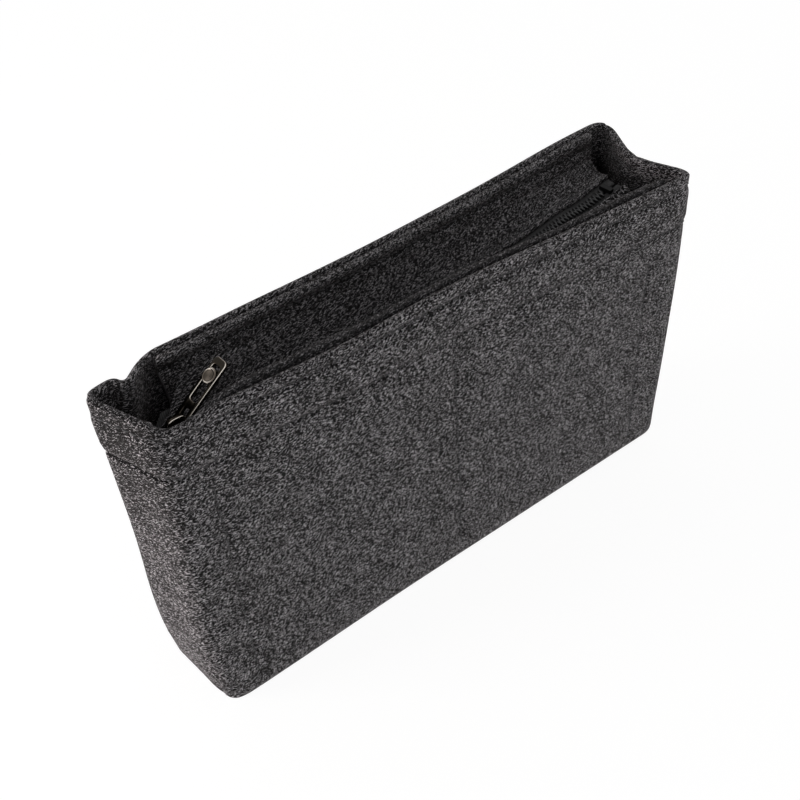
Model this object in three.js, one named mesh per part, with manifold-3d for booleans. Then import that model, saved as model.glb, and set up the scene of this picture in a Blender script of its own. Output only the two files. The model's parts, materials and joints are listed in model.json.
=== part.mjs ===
// Felt purse organizer insert: a boxed pouch with a zip set below its rim.
// Millimetres, +Z up. The origin is the middle of the underside. +X runs along the zip,
// from its closed end to its open end, and +Y points from the front wall to the back wall.

import * as THREE from 'three';
import { mergeVertices } from 'three/addons/utils/BufferGeometryUtils.js';
import Module from 'manifold-3d';

const wasm = await Module();
wasm.setup();

// Pouch
const baseLength = 234;
const baseDepth = 48;
const pouchHeight = 138;
const feltThickness = 3;
const baseFoldRadius = 3;
const baseCornerCut = 7;
const roundedShare = 0.9;
const baseFoldLift = 0.1;
const baseFoldLip = 1;
const seamGap = 0.3;

// Inner layers: rim facings, zip flaps and the slip pocket
const liningThickness = 2;
const layerGap = 0.3;
const facingThickness = 3;
const facingGap = 0.8;
const facingHeight = 26;
const facingDrop = 1;
const frontSeamDepth = 22;
const backSeamDepth = 9;
const mouthInset = 6;
const pocketLength = 200;
const pocketOffset = -3;
const pocketClearance = 4;
const pocketLift = 6;

// Thread rows
const threadRadius = 0.35;
const rimStitchDepth = 5;
const tapeStitchInset = 2.2;
const tapeStitchMargin = 0.03;

// Chain line: where the closed slider rests, and where the chain ends, in from the ends of the base.
// It runs level from the slider, and then climbs to its other end.
const sliderInset = 12;
const sliderRestY = -4.9;
const chainDepthLeft = 22;
const chainEndInset = 19;
const chainEndY = -1;
const chainDepthRight = 12;
const chainClimbLength = 80;
const chainClimbBend = 1.6;

// Zip tapes and coils, measured from the chain's middle line and the top of the tape
const tapeThickness = 0.7;
const tapeParting = 0.8;
const tapeReach = 5;
const tapeLead = 0.9;
const tapeOverrun = 5;
const flapEndInset = 5;
const coilPitch = 1.8;
const coilToothWidth = 0.6;
const coilToothSlope = 0.1;
const coilToothOverlap = 1.1;
const coilRailInner = 1.5;
const coilRailOuter = 2.9;
const coilHeight = 1.6;
const stopLength = 2;
const stopWall = 0.7;

// Slider and pull
const sliderLength = 12;
const sliderWidth = 8.2;
const sliderPlate = 1;
const sliderFlange = 0.8;
const sliderClearance = 0.4;
const sliderCornerRadius = 1.6;
const postLength = 2;
const postWidth = 2.2;
const bailWidth = 2;
const bailThickness = 0.8;
const bailSpan = 8;
const bailRise = 4.4;
const pullLength = 24.4;
const pullWidth = 6.6;
const pullThickness = 1.5;
const pullAngle = 38;
const pullPivotOffset = 1.4;
const pullHeel = 1.2;
const pullCornerRadius = 1.9;
const eyeLength = 3.8;
const eyeCornerRadius = 0.7;
const windowStart = 7.8;
const windowLength = 14;
const windowWidth = 4;
const windowCornerRadius = 0.95;
const studPosition = 17.6;
const studHeadRadius = 2.9;
const studHeadHeight = 0.7;
const studFlatRadius = 2.1;

// How finely curved pieces are divided
const cornerSteps = 4;
const runSteps = 4;
const foldSteps = 3;
const wallSteps = 7;
const flapSteps = 14;
const layerSteps = 6;
const arcSteps = 6;
const threadSteps = 3;
const studSteps = 18;
const layerRows = 2;

const halfLength = baseLength / 2;
const halfDepth = baseDepth / 2;
const felt = { color: 0x3c3a3c, roughness: 0.95, metalness: 0 };
const thread = { color: 0x262627, roughness: 0.8, metalness: 0 };
const blackTape = { color: 0x151516, roughness: 0.85, metalness: 0 };
const blackCoil = { color: 0x1b1b1c, roughness: 0.45, metalness: 0 };
const nickel = { color: 0x8f8a84, roughness: 0.25, metalness: 1 };

// Corners of the outline, counter-clockwise from above. Each has its place at the base, how far it has
// moved by the rim, how long its rounding is at the base and at the rim, and how early it moves.
const corners = {
  frontLeft: { base: [-halfLength, -halfDepth], shift: [-3.5, 2.5], cut: [baseCornerCut, 6], bend: 1 },
  frontRight: { base: [halfLength, -halfDepth], shift: [0.5, -5.5], cut: [baseCornerCut, 9], bend: 1 },
  rightFold: { base: [halfLength, 3], shift: [-7.5, -7], cut: [4, 9], bend: 1.4 },
  backRight: { base: [halfLength, halfDepth], shift: [9.5, 3.5], cut: [baseCornerCut, 14], bend: 1 },
  backMiddle: { base: [0, halfDepth], shift: [-10, -8.2], cut: [50, 50], bend: 1 },
  backLeft: { base: [-halfLength, halfDepth], shift: [12, -10], cut: [baseCornerCut, 7], bend: 1.5 },
  leftFold: { base: [-halfLength, 11], shift: [3.5, -6], cut: [1, 2], bend: 1.4 },
  leftElbow: { base: [-halfLength, 8], shift: [0.5, 2.5], cut: [1, 3], bend: 1 },
  leftLip: { base: [-halfLength, 4], shift: [-14, 5], cut: [2, 9], bend: 0.75 },
};
const cornerNames = Object.keys(corners);
const pointsPerCorner = cornerSteps + runSteps;
const seamIndex = (name) => cornerNames.indexOf(name) * pointsPerCorner + cornerSteps / 2;

// Outline of the outer face at one height

function cornersAt(z) {
  const climb = z / pouchHeight;
  return Object.values(corners).map(({ base, shift, cut, bend }) => ({
    place: new THREE.Vector2(...base).addScaledVector(new THREE.Vector2(...shift), climb ** bend),
    cut: THREE.MathUtils.lerp(cut[0], cut[1], climb),
  }));
}

// The point where a corner's rounding starts on the way to its neighbour
function roundingStart(corner, neighbour) {
  const edge = corner.place.distanceTo(neighbour.place);
  const room = Math.min(1, (edge * roundedShare) / (corner.cut + neighbour.cut));
  return corner.place.clone().lerp(neighbour.place, (corner.cut * room) / edge);
}

function outline(z) {
  const placed = cornersAt(z);
  return placed.flatMap((corner, i) => {
    const before = placed.at(i - 1);
    const after = placed[(i + 1) % placed.length];
    const start = roundingStart(corner, before);
    const end = roundingStart(corner, after);
    const nextStart = roundingStart(after, corner);
    const rounding = new THREE.QuadraticBezierCurve(start, corner.place, end).getPoints(cornerSteps);
    const run = new THREE.LineCurve(end, nextStart).getPoints(runSteps).slice(1, -1);
    return [...rounding, ...run];
  });
}

// The same outline moved inward by a distance
function ring(z, inset) {
  const points = outline(z);
  return points.map((point, i) => {
    const ahead = points[(i + 1) % points.length].clone().sub(point).normalize();
    const along = point.clone().sub(points.at(i - 1)).normalize().add(ahead).normalize();
    return new THREE.Vector3(point.x - along.y * inset, point.y + along.x * inset, z);
  });
}

// Where the outer face of the front (-1) or back (+1) wall lies at one length and height
function wallY(side, x, z) {
  const points = outline(z);
  const crossings = points.flatMap((from, i) => {
    const to = points[(i + 1) % points.length];
    const share = (x - from.x) / (to.x - from.x);
    return share >= 0 && share < 1 ? [from.y + (to.y - from.y) * share] : [];
  });
  return side * Math.max(...crossings.map((y) => y * side));
}

// A distance inward from a wall's outer face
function insideWall(side, x, z, depth) {
  return new THREE.Vector3(x, wallY(side, x, z) - side * depth, z);
}

// Solids

function indexedGeometry(positions, triangles) {
  const geometry = new THREE.BufferGeometry();
  geometry.setAttribute('position', new THREE.Float32BufferAttribute(positions, 3));
  geometry.setIndex(triangles);
  geometry.computeVertexNormals();
  return geometry;
}

function signedVolume(points, triangles) {
  let volume = 0;
  for (let i = 0; i < triangles.length; i += 3) {
    const [a, b, c] = triangles.slice(i, i + 3).map((index) => points[index]);
    volume += a.dot(b.clone().cross(c)) / 6;
  }
  return volume;
}

// A closed strip through sections, each with as many points on its near face as on its far face
function stripSolid(sections) {
  const rows = sections[0].near.length;
  const points = sections.flatMap(({ near, far }) => [...near, ...far]);
  const index = (section, face, row) => section * 2 * rows + face * rows + row;
  const triangles = [];
  const quad = (a, b, c, d) => triangles.push(a, b, c, a, c, d);
  for (let s = 0; s + 1 < sections.length; s += 1) {
    for (let r = 0; r + 1 < rows; r += 1) {
      quad(index(s, 0, r), index(s + 1, 0, r), index(s + 1, 0, r + 1), index(s, 0, r + 1));
      quad(index(s, 1, r), index(s, 1, r + 1), index(s + 1, 1, r + 1), index(s + 1, 1, r));
    }
    const top = rows - 1;
    quad(index(s, 0, 0), index(s, 1, 0), index(s + 1, 1, 0), index(s + 1, 0, 0));
    quad(index(s, 0, top), index(s + 1, 0, top), index(s + 1, 1, top), index(s, 1, top));
  }
  const last = sections.length - 1;
  for (let r = 0; r + 1 < rows; r += 1) {
    quad(index(0, 0, r), index(0, 0, r + 1), index(0, 1, r + 1), index(0, 1, r));
    quad(index(last, 0, r), index(last, 1, r), index(last, 1, r + 1), index(last, 0, r + 1));
  }
  if (signedVolume(points, triangles) < 0) triangles.reverse();
  return indexedGeometry(points.flatMap((point) => point.toArray()), triangles);
}

function toManifold(geometry) {
  const bare = geometry.clone();
  bare.deleteAttribute('normal');
  bare.deleteAttribute('uv');
  const merged = mergeVertices(bare);
  const vertProperties = Float32Array.from(merged.attributes.position.array);
  const triVerts = Uint32Array.from(merged.index.array);
  return new wasm.Manifold(new wasm.Mesh({ numProp: 3, vertProperties, triVerts }));
}

function joined(...geometries) {
  const solid = geometries.map(toManifold).reduce((whole, next) => whole.add(next));
  const { vertProperties, triVerts } = solid.getMesh();
  return indexedGeometry([...vertProperties], [...triVerts]);
}

function polygon(points) {
  return new THREE.Shape(points.map(([x, y]) => new THREE.Vector2(x, y)));
}

// A flat shape in XY made thick from z0 to z1
function slab(shape, z0, z1) {
  const options = { depth: z1 - z0, bevelEnabled: false, curveSegments: arcSteps };
  return new THREE.ExtrudeGeometry(shape, options).translate(0, 0, z0);
}

function box(x0, x1, y0, y1, z0, z1) {
  const centre = [(x0 + x1) / 2, (y0 + y1) / 2, (z0 + z1) / 2];
  return new THREE.BoxGeometry(x1 - x0, y1 - y0, z1 - z0).translate(...centre);
}

function roundedRectangle(x0, x1, y0, y1, radius, shape = new THREE.Shape()) {
  shape.absarc(x1 - radius, y0 + radius, radius, -Math.PI / 2, 0);
  shape.absarc(x1 - radius, y1 - radius, radius, 0, Math.PI / 2);
  shape.absarc(x0 + radius, y1 - radius, radius, Math.PI / 2, Math.PI);
  shape.absarc(x0 + radius, y0 + radius, radius, Math.PI, Math.PI * 1.5);
  return shape;
}

const model = new THREE.Group();

function addPiece(name, geometry, look, parent = model) {
  const mesh = new THREE.Mesh(geometry, new THREE.MeshStandardMaterial(look));
  mesh.name = name;
  parent.add(mesh);
}

function evenly(from, to, steps) {
  return Array.from({ length: steps + 1 }, (_, i) => THREE.MathUtils.lerp(from, to, i / steps));
}

// Felt panels: each is one wall, half of both ends and half of the base

function wallLevels() {
  const fold = evenly(0, Math.PI / 2, foldSteps).map((angle) => ({
    z: baseFoldLift + (baseFoldRadius - baseFoldLift) * (1 - Math.cos(angle)),
    inset: baseFoldRadius * (1 - Math.sin(angle)),
  }));
  const wall = evenly(baseFoldRadius, pouchHeight, wallSteps).slice(1);
  return [...fold, ...wall.map((z) => ({ z, inset: 0 }))];
}

// The stretch of a ring between two seams, with half of the seam's gap taken off each end
function ringStretch(points, fromCorner, toCorner) {
  const from = seamIndex(fromCorner);
  const count = (seamIndex(toCorner) - from + points.length) % points.length;
  const stretch = Array.from({ length: count + 1 }, (_, i) => points[(from + i) % points.length].clone());
  const trim = (end, neighbour) => end.lerp(neighbour, seamGap / 2 / end.distanceTo(neighbour));
  trim(stretch[0], stretch[1]);
  trim(stretch[count], stretch[count - 1]);
  return stretch;
}

function panel(fromCorner, toCorner, baseSide) {
  const levels = wallLevels();
  const outer = levels.map(({ z, inset }) => ringStretch(ring(z, inset), fromCorner, toCorner));
  const innerInset = (inset) => Math.max(feltThickness, inset + baseFoldLip);
  const inner = levels.map(({ z, inset }) => ringStretch(ring(z, innerInset(inset)), fromCorner, toCorner));
  const sections = outer[0].map((_, i) => ({
    near: outer.map((row) => row[i]),
    far: inner.map((row) => row[i]),
  }));
  const edge = ringStretch(ring(0, baseFoldRadius + layerGap), fromCorner, toCorner);
  const basePoints = edge.map((point) => [point.x, point.y]);
  basePoints[0][1] += (baseSide * seamGap) / 2;
  basePoints.at(-1)[1] += (baseSide * seamGap) / 2;
  return joined(stripSolid(sections), slab(polygon(basePoints), 0, feltThickness));
}

addPiece('front_panel', panel('leftLip', 'rightFold', -1), felt);
addPiece('back_panel', panel('rightFold', 'leftLip', 1), felt);

// Straight stretch of each wall at the mouth, between its rounded corners

const pocketDepth = feltThickness + layerGap;
const facingDepth = feltThickness + facingGap;
const flapDepth = facingDepth + facingThickness + layerGap;
const flapSeamZ = (side) => pouchHeight - (side < 0 ? frontSeamDepth : backSeamDepth);

function mouthSpan(side) {
  const [leftName, rightName] = side < 0 ? ['frontLeft', 'frontRight'] : ['backLeft', 'backRight'];
  const atRim = (name) => corners[name].base[0] + corners[name].shift[0];
  const left = Math.max(corners[leftName].base[0], atRim(leftName)) + corners[leftName].cut[1];
  const right = Math.min(corners[rightName].base[0], atRim(rightName)) - corners[rightName].cut[1];
  return [left + mouthInset / 2, right - mouthInset / 2];
}

// A felt layer against a wall's inner face
function wallLayer(side, [x0, x1], z0, z1, depth, thickness) {
  const heights = evenly(z0, z1, layerRows);
  return stripSolid(evenly(x0, x1, layerSteps).map((x) => ({
    near: heights.map((z) => insideWall(side, x, z, depth)),
    far: heights.map((z) => insideWall(side, x, z, depth + thickness)),
  })));
}

// A row of thread along a path
function threadRow(points) {
  const section = new THREE.Shape().absarc(0, 0, threadRadius, 0, Math.PI * 2);
  const path = new THREE.CatmullRomCurve3(points);
  const steps = points.length * 2;
  const options = { steps, extrudePath: path, curveSegments: threadSteps, bevelEnabled: false };
  return new THREE.ExtrudeGeometry(section, options);
}

function wallStitch(side, [x0, x1], z) {
  const outside = -(threadRadius + layerGap);
  return threadRow(evenly(x0, x1, layerSteps).map((x) => insideWall(side, x, z, outside)));
}

const facingTop = pouchHeight - facingDrop;
const facingBottom = pouchHeight - facingHeight;
const sides = { front: -1, back: 1 };
for (const [name, side] of Object.entries(sides)) {
  const span = mouthSpan(side);
  const facing = wallLayer(side, span, facingBottom, facingTop, facingDepth, facingThickness);
  addPiece(`${name}_rim_facing`, facing, felt);
  addPiece(`${name}_rim_stitch`, wallStitch(side, span, pouchHeight - rimStitchDepth), thread);
  addPiece(`${name}_flap_stitch`, wallStitch(side, span, flapSeamZ(side)), thread);
}

// Slip pocket on the front wall, with its three stitched rows

const pocketSpan = [pocketOffset - pocketLength / 2, pocketOffset + pocketLength / 2];
const pocketTop = facingBottom - pocketClearance;
const pocket = wallLayer(-1, pocketSpan, pocketLift, pocketTop, pocketDepth, liningThickness);
addPiece('front_pocket', pocket, felt);
const pocketRows = { left: pocketSpan[0], centre: pocketOffset, right: pocketSpan[1] };
for (const [name, x] of Object.entries(pocketRows)) {
  const heights = evenly(pocketLift, pocketTop, layerSteps);
  const row = heights.map((z) => insideWall(-1, x, z, -(threadRadius + layerGap)));
  addPiece(`pocket_${name}_stitch`, threadRow(row), thread);
}

// Chain line, and a frame at its start: local x along the chain, local z up from the tape's top face

const chainStart = new THREE.Vector2(sliderInset - halfLength, sliderRestY);
const chainEnd = new THREE.Vector2(halfLength - chainEndInset, chainEndY);
const chainLength = chainStart.distanceTo(chainEnd);
const chainRise = chainDepthLeft - chainDepthRight;
const chainFrame = new THREE.Group();
chainFrame.position.set(chainStart.x, chainStart.y, pouchHeight - chainDepthLeft);
chainFrame.rotation.z = chainEnd.clone().sub(chainStart).angle();
chainFrame.updateMatrixWorld(true);
model.add(chainFrame);

function chainClimb(x) {
  const share = Math.max(0, 1 - (chainLength - x) / chainClimbLength);
  return chainRise * share ** chainClimbBend;
}

function chainPoint(x, y, z) {
  return new THREE.Vector3(x, y, z + chainClimb(x)).applyMatrix4(chainFrame.matrixWorld);
}

// Zip flaps: felt from the seam on each wall up to the chain, with the tape under the free edge

const sliderHalf = sliderWidth / 2;
const flapEdge = sliderHalf + sliderClearance;
const tapeStart = -sliderLength / 2 - stopLength - tapeLead;
const tapeEnd = chainLength + tapeOverrun;
const flapStart = tapeStart + flapEndInset;
const postStart = -sliderLength / 2 + sliderPlate;
const postEnd = postStart + postLength;
const postSide = postWidth / 2 + sliderClearance;

// A point on the flap's underside: share 0 is its free edge, and 1 is its seam on the wall
function flapUnderside(side, along, share) {
  const [left, right] = mouthSpan(side);
  const edge = chainPoint(THREE.MathUtils.lerp(flapStart, tapeEnd, along), side * flapEdge, layerGap);
  const seam = insideWall(side, THREE.MathUtils.lerp(left, right, along), flapSeamZ(side), flapDepth);
  seam.z -= liningThickness;
  return edge.lerp(seam, share);
}

function raised(point, height) {
  return point.clone().setZ(point.z + height);
}

function flap(side) {
  return stripSolid(evenly(0, 1, flapSteps).map((along) => {
    const near = evenly(0, 1, layerRows).map((share) => flapUnderside(side, along, share));
    return { near, far: near.map((point) => raised(point, liningThickness)) };
  }));
}

// The tape lies flat under the coil and follows the flap's underside beyond its free edge
function tape(side) {
  const stations = [tapeStart, postEnd, postEnd + sliderClearance];
  const stretch = [...stations, ...evenly(stations.at(-1), tapeEnd, flapSteps).slice(1)];
  return stripSolid(stretch.map((x) => {
    const along = (x - flapStart) / (tapeEnd - flapStart);
    const free = flapUnderside(side, along, 0);
    const seam = flapUnderside(side, along, 1);
    const reach = tapeReach / Math.abs(seam.y - free.y);
    const inner = x <= postEnd + sliderClearance / 2 ? postSide : tapeParting;
    const far = [
      chainPoint(x, side * inner, 0),
      raised(free, -layerGap),
      raised(flapUnderside(side, along, reach), -layerGap),
    ];
    return { near: far.map((point) => raised(point, -tapeThickness)), far };
  }));
}

function tapeStitch(side) {
  const row = evenly(tapeStitchMargin, 1 - tapeStitchMargin, flapSteps).map((along) => {
    const width = Math.abs(flapUnderside(side, along, 1).y - flapUnderside(side, along, 0).y);
    const underside = flapUnderside(side, along, tapeStitchInset / width);
    return raised(underside, liningThickness + layerGap * 2 + threadRadius * 2);
  });
  return threadRow(row);
}

// Coil: a rail with one tooth at each pitch, and the two sides set half a pitch apart
function coil(side) {
  const start = postEnd + sliderClearance * 2;
  const end = chainLength - stopLength;
  const teeth = Math.floor((end - start) / coilPitch);
  const offset = start + (side > 0 ? coilPitch / 2 : 0);
  const stations = [[start, coilRailInner]];
  for (let i = 0; i < teeth; i += 1) {
    const x = offset + i * coilPitch + coilToothWidth / 2;
    const far = x + coilToothWidth;
    stations.push([x, coilRailInner], [x + coilToothSlope, -coilToothOverlap]);
    stations.push([far, -coilToothOverlap], [far + coilToothSlope, coilRailInner]);
  }
  stations.push([end, coilRailInner]);
  return stripSolid(stations.map(([x, reach]) => {
    const level = (z) => [chainPoint(x, side * coilRailOuter, z), chainPoint(x, side * reach, z)];
    return { near: level(layerGap), far: level(layerGap + coilHeight) };
  }));
}

// Stop folded over the inner edge of one tape, just past the slider
function topStop(side) {
  const web = postSide - layerGap;
  const reach = postSide + stopLength;
  const top = layerGap;
  const bottom = -tapeThickness - layerGap;
  const profile = [
    [web - stopWall, bottom - stopWall], [reach, bottom - stopWall], [reach, bottom], [web, bottom],
    [web, top], [reach, top], [reach, top + stopWall], [web - stopWall, top + stopWall],
  ];
  const solid = slab(polygon(profile.map(([y, z]) => [side * y, z])), 0, stopLength);
  solid.rotateX(Math.PI / 2).rotateZ(Math.PI / 2);
  return solid.translate(-sliderLength / 2 - stopLength - sliderClearance, 0, 0);
}

// Stop crimped through the gap between the tapes at the chain's end
function bottomStop() {
  const start = chainLength - stopLength + layerGap;
  const end = start + stopLength;
  const web = tapeParting - layerGap;
  const bottom = -tapeThickness - layerGap;
  const plate = (halfWidth, z0, z1) => stripSolid([start, end].map((x) => {
    const level = (z) => [chainPoint(x, -halfWidth, z), chainPoint(x, halfWidth, z)];
    return { near: level(z0), far: level(z1) };
  }));
  return joined(
    plate(coilRailOuter, layerGap, layerGap + coilHeight),
    plate(web, bottom - stopWall / 2, layerGap + coilHeight / 2),
    plate(coilRailOuter, bottom - stopWall, bottom),
  );
}

for (const [name, side] of Object.entries(sides)) {
  addPiece(`${name}_zip_flap`, flap(side), felt);
  addPiece(`${name}_zip_tape`, tape(side), blackTape);
  addPiece(`${name}_tape_stitch`, tapeStitch(side), thread);
  addPiece(`${name}_zip_coil`, coil(side), blackCoil);
  addPiece(`${name}_top_stop`, topStop(side), nickel, chainFrame);
}
addPiece('bottom_stop', bottomStop(), blackCoil);

// Slider: two plates held by a post, with flanges that run beside the coils

const lowerPlateTop = -tapeThickness - sliderClearance;
const upperPlateBottom = layerGap + coilHeight + sliderClearance;
const upperPlateTop = upperPlateBottom + sliderPlate;

function sliderBody() {
  const front = -sliderLength / 2;
  const back = sliderLength / 2;
  const plate = roundedRectangle(front, back, -sliderHalf, sliderHalf, sliderCornerRadius);
  const flangeBottom = sliderClearance;
  const flangeStart = front + sliderCornerRadius;
  const flangeEnd = back - sliderCornerRadius;
  const flangeInner = sliderHalf - sliderFlange;
  const half = sliderPlate / 2;
  return joined(
    slab(plate, upperPlateBottom, upperPlateTop),
    slab(plate, lowerPlateTop - sliderPlate, lowerPlateTop),
    box(postStart, postEnd, -postWidth / 2, postWidth / 2, lowerPlateTop - half, upperPlateBottom + half),
    box(flangeStart, flangeEnd, flangeInner, sliderHalf, flangeBottom, upperPlateBottom + half),
    box(flangeStart, flangeEnd, -sliderHalf, -flangeInner, flangeBottom, upperPlateBottom + half),
  );
}

// Bail: an arch along the slider, bent from a narrow strip
function sliderBail() {
  const foot = upperPlateTop + layerGap;
  const outer = bailSpan / 2;
  const inner = outer - bailThickness;
  const outerTop = foot + bailRise;
  const innerTop = outerTop - bailThickness;
  const shoulder = bailRise / 2;
  const arch = new THREE.Shape();
  arch.moveTo(-outer, foot);
  arch.lineTo(-inner, foot);
  arch.lineTo(-inner, innerTop - shoulder);
  arch.quadraticCurveTo(-inner, innerTop, -inner + shoulder, innerTop);
  arch.lineTo(inner - shoulder, innerTop);
  arch.quadraticCurveTo(inner, innerTop, inner, innerTop - shoulder);
  arch.lineTo(inner, foot);
  arch.lineTo(outer, foot);
  arch.lineTo(outer, outerTop - shoulder);
  arch.quadraticCurveTo(outer, outerTop, outer - shoulder, outerTop);
  arch.lineTo(-outer + shoulder, outerTop);
  arch.quadraticCurveTo(-outer, outerTop, -outer, outerTop - shoulder);
  return slab(arch, -bailWidth / 2, bailWidth / 2).rotateX(Math.PI / 2);
}

addPiece('slider_body', sliderBody(), nickel, chainFrame);
addPiece('slider_bail', sliderBail(), nickel, chainFrame);

// Pull: a flat tab hooked through the bail, with a long window and a stud riveted in it.
// Local x runs from the pivot to the tip.

const pullFrame = new THREE.Group();
pullFrame.position.set(pullPivotOffset, 0, upperPlateTop + layerGap + (bailRise - bailThickness) / 2);
pullFrame.rotation.y = -THREE.MathUtils.degToRad(pullAngle);
chainFrame.add(pullFrame);

function pullTab() {
  const half = pullWidth / 2;
  const tab = roundedRectangle(-pullHeel, pullLength, -half, half, pullCornerRadius);
  const cutOut = (start, length, width, radius) => {
    const path = new THREE.Path();
    tab.holes.push(roundedRectangle(start, start + length, -width / 2, width / 2, radius, path));
  };
  cutOut(pullHeel, eyeLength, bailWidth + sliderClearance * 2, eyeCornerRadius);
  cutOut(windowStart, windowLength, windowWidth, windowCornerRadius);
  return slab(tab, -pullThickness / 2, pullThickness / 2);
}

function pullStud() {
  const shank = windowWidth / 2 - layerGap;
  const seat = pullThickness / 2 + layerGap;
  const crown = seat + studHeadHeight;
  const shoulder = seat + studHeadHeight / 2;
  const profile = [
    [0, -crown], [studFlatRadius, -crown], [studHeadRadius, -shoulder], [studHeadRadius, -seat],
    [shank, -seat], [shank, seat],
    [studHeadRadius, seat], [studHeadRadius, shoulder], [studFlatRadius, crown], [0, crown],
  ];
  const turned = new THREE.LatheGeometry(profile.map(([r, y]) => new THREE.Vector2(r, y)), studSteps);
  return turned.rotateX(Math.PI / 2).translate(studPosition, 0, 0);
}

addPiece('pull_tab', pullTab(), nickel, pullFrame);
addPiece('pull_stud', pullStud(), nickel, pullFrame);

export default model;
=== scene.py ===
import json
import math

import bpy
import numpy as np
from mathutils import Matrix, Quaternion, Vector


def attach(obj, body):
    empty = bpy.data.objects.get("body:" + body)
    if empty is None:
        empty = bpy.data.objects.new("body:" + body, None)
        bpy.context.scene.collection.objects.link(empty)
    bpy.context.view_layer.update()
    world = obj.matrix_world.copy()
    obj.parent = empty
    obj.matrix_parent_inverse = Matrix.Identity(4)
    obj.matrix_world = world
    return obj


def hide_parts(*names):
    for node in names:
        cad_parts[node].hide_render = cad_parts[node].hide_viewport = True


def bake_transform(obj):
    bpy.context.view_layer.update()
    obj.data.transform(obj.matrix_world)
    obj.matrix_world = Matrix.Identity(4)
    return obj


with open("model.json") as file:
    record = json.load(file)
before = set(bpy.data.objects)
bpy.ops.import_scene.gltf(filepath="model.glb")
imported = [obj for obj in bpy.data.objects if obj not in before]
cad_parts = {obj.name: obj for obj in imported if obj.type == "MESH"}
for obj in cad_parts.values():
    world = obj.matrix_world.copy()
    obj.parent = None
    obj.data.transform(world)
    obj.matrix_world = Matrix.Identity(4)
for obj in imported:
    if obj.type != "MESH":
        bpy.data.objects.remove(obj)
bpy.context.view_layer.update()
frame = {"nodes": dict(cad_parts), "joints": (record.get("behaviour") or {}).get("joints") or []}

mm = 0.001  # every size below is in millimetres
joints = {joint["name"]: joint for joint in frame["joints"]}
scene = bpy.context.scene
scene.view_settings.view_transform = "Standard"


# camera where the photograph was taken from

shot = {
    "place": (-224.0, -287.1, 371.5),
    "lookAt": (15.1, 34.7, 40.3),
    "roll": -3.25,  # degrees
    "lens": 54,
    "sensor": 36,  # width
    "nearest": 0.01,  # metres
}


def placeCamera():
    data = bpy.data.cameras.new("camera")
    data.lens = shot["lens"]
    data.sensor_width = shot["sensor"]
    data.clip_start = shot["nearest"]
    camera = bpy.data.objects.new("camera", data)
    scene.collection.objects.link(camera)
    aim = Vector(shot["lookAt"]) - Vector(shot["place"])
    level = aim.to_track_quat("-Z", "Y")
    camera.rotation_mode = "QUATERNION"
    camera.rotation_quaternion = level @ Quaternion((0, 0, 1), math.radians(shot["roll"]))
    camera.location = Vector(shot["place"]) * mm
    scene.camera = camera


placeCamera()
print("camera placed")


# small helpers for node trees and meshes

def plug(tree, node, **sockets):
    for key, value in sockets.items():
        byPlace = key[0] == "i" and key[1:].isdigit()
        socket = node.inputs[int(key[1:]) if byPlace else key.replace("_", " ")]
        if isinstance(value, bpy.types.NodeSocket):
            tree.links.new(value, socket)
        else:
            socket.default_value = value


def addNode(tree, kind, settings=None, **sockets):
    node = tree.nodes.new("ShaderNode" + kind)
    for key, value in (settings or {}).items():
        setattr(node, key, value)
    plug(tree, node, **sockets)
    return node


def clearTree(owner):
    owner.use_nodes = True
    owner.node_tree.nodes.clear()
    return owner.node_tree


def newMaterial(name):
    material = bpy.data.materials.new(name)
    tree = clearTree(material)
    surface = addNode(tree, "BsdfPrincipled")
    addNode(tree, "OutputMaterial", Surface=surface.outputs["BSDF"])
    return material, tree, surface


def maths(tree, operation, first, second=0.0):
    return addNode(tree, "Math", {"operation": operation}, i0=first, i1=second).outputs[0]


def addShare(tree, base, value, share):
    return maths(tree, "ADD", base, maths(tree, "MULTIPLY", value, share))


def bumped(tree, height, strength, distance):
    return addNode(tree, "Bump", Strength=strength, Distance=distance, Height=height).outputs[0]


def objectPlace(tree):
    return addNode(tree, "TexCoord").outputs["Object"]


def feltRun(tree):
    return addNode(tree, "UVMap", {"uv_map": "feltRun"}).outputs["UV"]


def fitted(tree, value, low, high, toLow=0.0, toHigh=1.0):
    node = addNode(tree, "MapRange", i0=value, i1=low, i2=high, i3=toLow, i4=toHigh)
    return node.outputs[0]


def ramp(tree, value, stops):
    node = addNode(tree, "ValToRGB", Fac=value)
    elements = node.color_ramp.elements
    while len(elements) < len(stops):
        elements.new(0.5)
    for element, (place, colour) in zip(elements, stops):
        element.position = place
        element.color = (*colour, 1)
    return node.outputs["Color"]


def smoothStep(low, high, value):
    share = np.clip((value - low) / (high - low), 0, 1)
    return share * share * (3 - 2 * share)


def bell(value, width):
    return np.exp(-(value / width) ** 2)


def addObject(name, points, faces, material, run=None, paintedLightAndTone=None, smooth=True):
    mesh = bpy.data.meshes.new(name)
    mesh.from_pydata((np.asarray(points, float) * mm).tolist(), [], faces)
    corners = np.zeros(len(mesh.loops), np.int32)
    mesh.loops.foreach_get("vertex_index", corners)
    if run is not None:
        layer = mesh.uv_layers.new(name="feltRun")
        layer.data.foreach_set("uv", np.asarray(run, np.float32)[corners].ravel())
    # painted light and shade, and paler cut edges, go to the shaders as a mesh attribute
    if paintedLightAndTone is not None:
        mark = mesh.attributes.new("paintedLightAndTone", "FLOAT", "POINT")
        mark.data.foreach_set("value", np.asarray(paintedLightAndTone, np.float32))
    if smooth:
        mesh.shade_smooth()
    mesh.materials.append(material)
    obj = bpy.data.objects.new(name, mesh)
    scene.collection.objects.link(obj)
    return obj


# closed solid through sections that all have the same even number of points
def loftFaces(count, size):
    faces = []
    for s in range(count - 1):
        for p in range(size):
            q = (p + 1) % size
            faces.append((s * size + p, (s + 1) * size + p, (s + 1) * size + q, s * size + q))
    last = (count - 1) * size
    for p in range(size // 2 - 1):
        far = size - 1 - p
        faces.append((p, p + 1, far - 1, far))
        faces.append((last + p, last + far, last + far - 1, last + p + 1))
    return faces


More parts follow.
